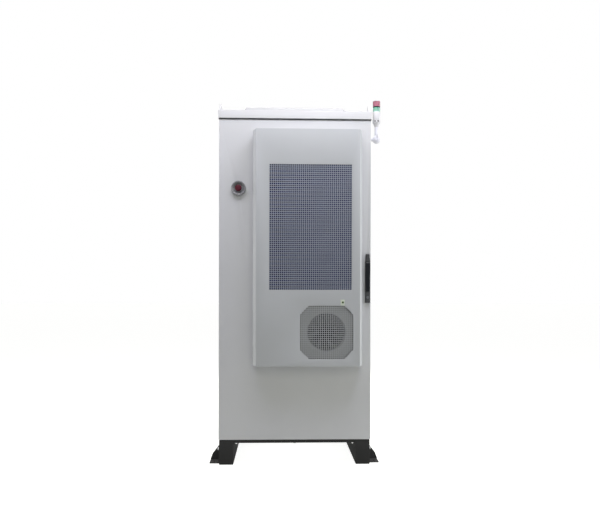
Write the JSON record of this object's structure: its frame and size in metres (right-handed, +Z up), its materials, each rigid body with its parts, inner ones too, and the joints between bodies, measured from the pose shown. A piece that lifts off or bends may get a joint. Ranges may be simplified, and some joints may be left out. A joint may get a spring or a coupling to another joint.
{
  "type": "battery cabinet",
  "caption": "Outdoor battery cabinet on an anchored plinth: lockable door with a perforated air conditioner, emergency stop, roof cap, lifting lugs and a folding signal beacon.",
  "frame": {"origin": "on the floor, at the middle of the four anchor holes, under the cabinet's middle", "axes": "+X right as seen from the front, +Y from the door to the rear panel, +Z up"},
  "size_m": [1.03, 1.0555, 2.191],
  "materials": {
    "enclosure_paint": "textured light gray powder coat",
    "roof_paint": "textured off-white powder coat",
    "ac_paint": "textured gray powder coat",
    "plinth_paint": "near-black powder coat",
    "inner_paint": "light gray inner paint",
    "zinc": "zinc plated",
    "fastener": "bright zinc bolts",
    "black_plastic": "black moulded handle",
    "lock_metal": "nickel lock insert",
    "gasket_rubber": "black foam seal",
    "guard_gray": "gray moulded guard",
    "stop_red": "red mushroom head",
    "gland_plastic": "black glands",
    "coil_fins": "finned coil",
    "fan_plastic": "black fan",
    "compressor_paint": "black enamel",
    "copper": "bare copper",
    "light_plate": "pale status plate",
    "beacon_shell": "white beacon housing",
    "beacon_metal": "beacon pole and bracket",
    "lens_green": "green translucent lens",
    "lens_red": "red translucent lens",
    "rack_paint": "black rack",
    "module_case": "dark gray moulded module case",
    "control_case": "light gray moulded control case",
    "breaker_plastic": "white toggle"
  },
  "bodies": {
    "cabinet": {"plinth_channels": "plinth_paint", "plinth_cross_rails": "plinth_paint", "anchor_brackets": "plinth_paint", "plinth_bolts": "fastener", "corner_posts": "inner_paint", "frame_rails": "inner_paint", "floor_plate": "zinc", "gland_plate": "zinc", "cable_glands": "gland_plastic", "side_panel_left": "enclosure_paint", "side_panel_right": "enclosure_paint", "rear_panel": "enclosure_paint", "panel_screws": "fastener", "roof_cover": "roof_paint", "roof_vent_cap": "roof_paint", "roof_cap_brackets": "ac_paint", "lifting_lugs": "roof_paint", "hinge_frame_leaves": "zinc", "hinge_pins": "zinc", "strike_plates": "zinc", "battery_rack": "rack_paint", "battery_modules": "module_case", "module_handles": "black_plastic", "busbars": "copper", "control_box": "control_case", "beacon_bracket": "beacon_metal"},
    "door": {"door_panel": "enclosure_paint", "door_stiffeners": "inner_paint", "door_gasket": "gasket_rubber", "hinge_door_leaves": "zinc", "handle_escutcheon": "black_plastic", "lock_gearbox": "zinc", "rod_guides": "black_plastic", "estop_guard_ring": "guard_gray", "estop_contact_block": "black_plastic", "ac_cover": "ac_paint", "ac_grilles": "ac_paint", "ac_chassis": "zinc", "condenser_coil": "coil_fins", "condenser_fan_shroud": "fan_plastic", "condenser_fan_motor": "compressor_paint", "compressor": "compressor_paint", "refrigerant_pipes": "copper", "evaporator_coil": "coil_fins", "ac_status_light": "light_plate"},
    "handle_hub": {"handle_spindle": "lock_metal"},
    "lever": {"handle_lever": "black_plastic", "handle_lever_pin": "lock_metal"},
    "key": {"key_cylinder": "lock_metal"},
    "rod_up": {"lock_rod_upper": "zinc"},
    "rod_down": {"lock_rod_lower": "zinc"},
    "stop_plunger": {"estop_plunger": "black_plastic"},
    "stop_head": {"estop_mushroom": "stop_red"},
    "fan": {"condenser_fan_rotor": "fan_plastic"},
    "blower": {"evaporator_blower_wheel": "zinc"},
    "beacon": {"beacon_stem": "beacon_metal", "beacon_housing": "beacon_shell", "beacon_lens_green": "lens_green", "beacon_lens_red": "lens_red"},
    "breaker": {"breaker_toggle": "breaker_plastic"}
  },
  "joints": [
    {"name": "door_swing", "type": "hinge", "parent": "cabinet", "child": "door", "pos_m": [-0.438, -0.438, 1.093], "axis": [0, 0, -1], "range_deg": [0, 110]},
    {"name": "handle_turn", "type": "hinge", "parent": "door", "child": "handle_hub", "pos_m": [0.43, -0.45, 1.187], "axis": [0, -1, 0], "range_deg": [0, 90]},
    {"name": "handle_lift", "type": "hinge", "parent": "handle_hub", "child": "lever", "pos_m": [0.43, -0.4679, 1.187], "axis": [-1, 0, 0], "range_deg": [0, 35]},
    {"name": "rod_up_slide", "type": "slide", "parent": "door", "child": "rod_up", "axis": [0, 0, -1], "range_m": [0, 0.0201]},
    {"name": "rod_down_slide", "type": "slide", "parent": "door", "child": "rod_down", "axis": [0, 0, 1], "range_m": [0, 0.0201]},
    {"name": "key_turn", "type": "hinge", "parent": "door", "child": "key", "pos_m": [0.43, -0.45, 0.99], "axis": [0, -1, 0], "range_deg": [0, 90]},
    {"name": "stop_push", "type": "slide", "parent": "door", "child": "stop_plunger", "axis": [0, 1, 0], "range_m": [0, 0.005], "stiffness_N_per_m": 900},
    {"name": "stop_twist", "type": "hinge", "parent": "stop_plunger", "child": "stop_head", "pos_m": [-0.334, -0.47, 1.631], "axis": [0, -1, 0], "range_deg": [0, 45], "stiffness_Nm_per_rad": 0.08},
    {"name": "fan_spin", "type": "hinge", "parent": "door", "child": "fan", "pos_m": [0.177, -0.54, 0.792], "axis": [0, 1, 0], "continuous": true},
    {"name": "blower_spin", "type": "hinge", "parent": "door", "child": "blower", "pos_m": [0.071, -0.372, 1.3], "axis": [1, 0, 0], "continuous": true},
    {"name": "beacon_fold", "type": "hinge", "parent": "cabinet", "child": "beacon", "pos_m": [0.5, -0.33, 1.953], "axis": [1, 0, 0], "range_deg": [-90, 90]},
    {"name": "breaker_switch", "type": "hinge", "parent": "cabinet", "child": "breaker", "pos_m": [0.2, -0.214, 1.858], "axis": [1, 0, 0], "range_deg": [0, 50]}
  ],
  "couplings": [
    {"joint": "rod_up_slide", "follows": "handle_turn", "m_per_rad": 0.012732},
    {"joint": "rod_down_slide", "follows": "handle_turn", "m_per_rad": 0.012732}
  ]
}
